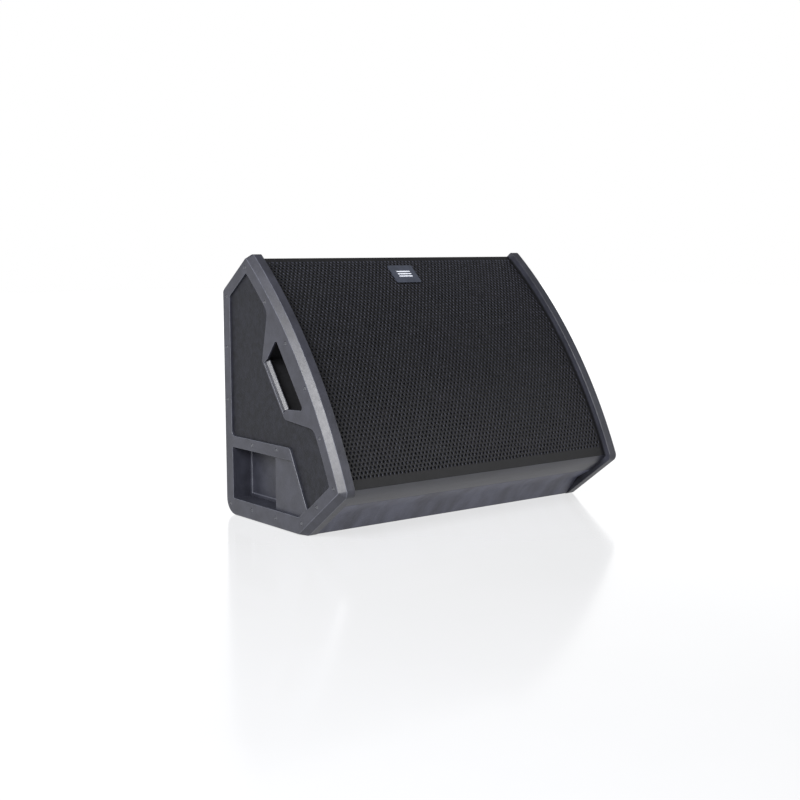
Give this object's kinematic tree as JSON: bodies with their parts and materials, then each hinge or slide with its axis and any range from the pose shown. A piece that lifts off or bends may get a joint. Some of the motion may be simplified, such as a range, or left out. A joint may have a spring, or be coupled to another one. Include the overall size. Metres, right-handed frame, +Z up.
{
  "type": "stage monitor wedge",
  "caption": "Wedge-shaped floor loudspeaker with a bowed perforated grille, moulded end caps with hand slots, and recessed side bays.",
  "frame": {"origin": "on the floor, under the middle of the cabinet's box", "axes": "+X across the cabinet to the right seen from the front, -Y towards the grille, +Z up"},
  "size_m": [0.62, 0.3578, 0.454],
  "materials": {
    "cap_plastic": "fine spark-eroded texture",
    "cabinet_paint": "birch plywood under textured structure paint",
    "trim_plastic": "fine satin texture",
    "grip_rubber": "satin moulded elastomer",
    "grille_steel": "black semi-gloss powder coat",
    "foam": "open-cell acoustic foam",
    "badge": "satin lacquer with a light printed pattern",
    "rubber": "matt",
    "cast_frame": "powder-coated casting",
    "steel": "zinc plated",
    "ferrite": "sintered",
    "paper": "pulp, doped",
    "copper": "enamelled winding",
    "aluminium": "anodised",
    "plate": "black anodised",
    "circuit": "soldermask over glass-fibre laminate",
    "wadding": "loose polyester felt",
    "black_plastic": "moulded",
    "nickel": "satin nickel",
    "green_lens": "clear tinted",
    "red_lens": "clear tinted"
  },
  "bodies": {
    "cabinet": {"amp_board": "circuit", "amp_chassis": "aluminium", "badge": "badge", "baffle": "cabinet_paint", "baffle_cleat_left": "cabinet_paint", "baffle_cleat_right": "cabinet_paint", "bay_tray_left": "cap_plastic", "bay_tray_right": "cap_plastic", "blanking_plate": "cap_plastic", "bottom_panel": "cabinet_paint", "compression_driver": "ferrite", "connector_plate": "plate", "damping_wadding": "wadding", "end_cap_left": "cap_plastic", "end_cap_right": "cap_plastic", "front_board": "cabinet_paint", "grille": "grille_steel", "grille_foam": "foam", "hand_cup_left": "cap_plastic", "hand_cup_right": "cap_plastic", "hand_grip_left": "grip_rubber", "hand_grip_right": "grip_rubber", "heat_sink": "aluminium", "hf_rear_cover": "black_plastic", "hf_waveguide": "black_plastic", "level_pot": "steel", "limit_light": "red_lens", "magnet_ring": "ferrite", "mains_inlet": "black_plastic", "mains_link": "black_plastic", "nose_trim": "trim_plastic", "pole_yoke": "steel", "port_tube_left": "black_plastic", "port_tube_right": "black_plastic", "power_board": "circuit", "power_light": "green_lens", "rear_panel": "cabinet_paint", "rocker_frame": "black_plastic", "side_panel_left": "cabinet_paint", "side_panel_right": "cabinet_paint", "signal_board": "circuit", "signal_input": "nickel", "signal_link": "nickel", "smoothing_capacitor_1": "black_plastic", "smoothing_capacitor_2": "black_plastic", "top_cleat": "cabinet_paint", "top_panel": "cabinet_paint", "top_plate": "steel", "toroid_transformer": "copper", "woofer_basket": "cast_frame", "woofer_gasket": "rubber", "woofer_spider": "paper", "woofer_surround": "rubber"},
    "cone": {"woofer_cone": "paper", "voice_coil": "copper"},
    "knob": {"level_knob": "rubber"},
    "button": {"preset_button": "black_plastic"},
    "rocker": {"power_rocker": "black_plastic"},
    "latch": {"signal_latch": "nickel"}
  },
  "joints": [
    {"name": "cone_travel", "type": "slide", "parent": "cabinet", "child": "cone", "axis": [0, -0.8074, 0.5901], "range_m": [-0.006, 0.006], "stiffness_N_per_m": 6000},
    {"name": "level_turn", "type": "hinge", "parent": "cabinet", "child": "knob", "pos_m": [0.278, 0.10476, 0.053], "axis": [1, 0, 0], "range_deg": [-150, 150]},
    {"name": "preset_press", "type": "slide", "parent": "cabinet", "child": "button", "axis": [-1, 0, 0], "range_m": [0, 0.0015], "stiffness_N_per_m": 400},
    {"name": "power_tilt", "type": "hinge", "parent": "cabinet", "child": "rocker", "pos_m": [0.2763, 0.04001, 0.053], "axis": [0, 1, 0], "range_deg": [0, 20]},
    {"name": "latch_press", "type": "slide", "parent": "cabinet", "child": "latch", "axis": [-1, 0, 0], "range_m": [0, 0.0015], "stiffness_N_per_m": 500}
  ]
}
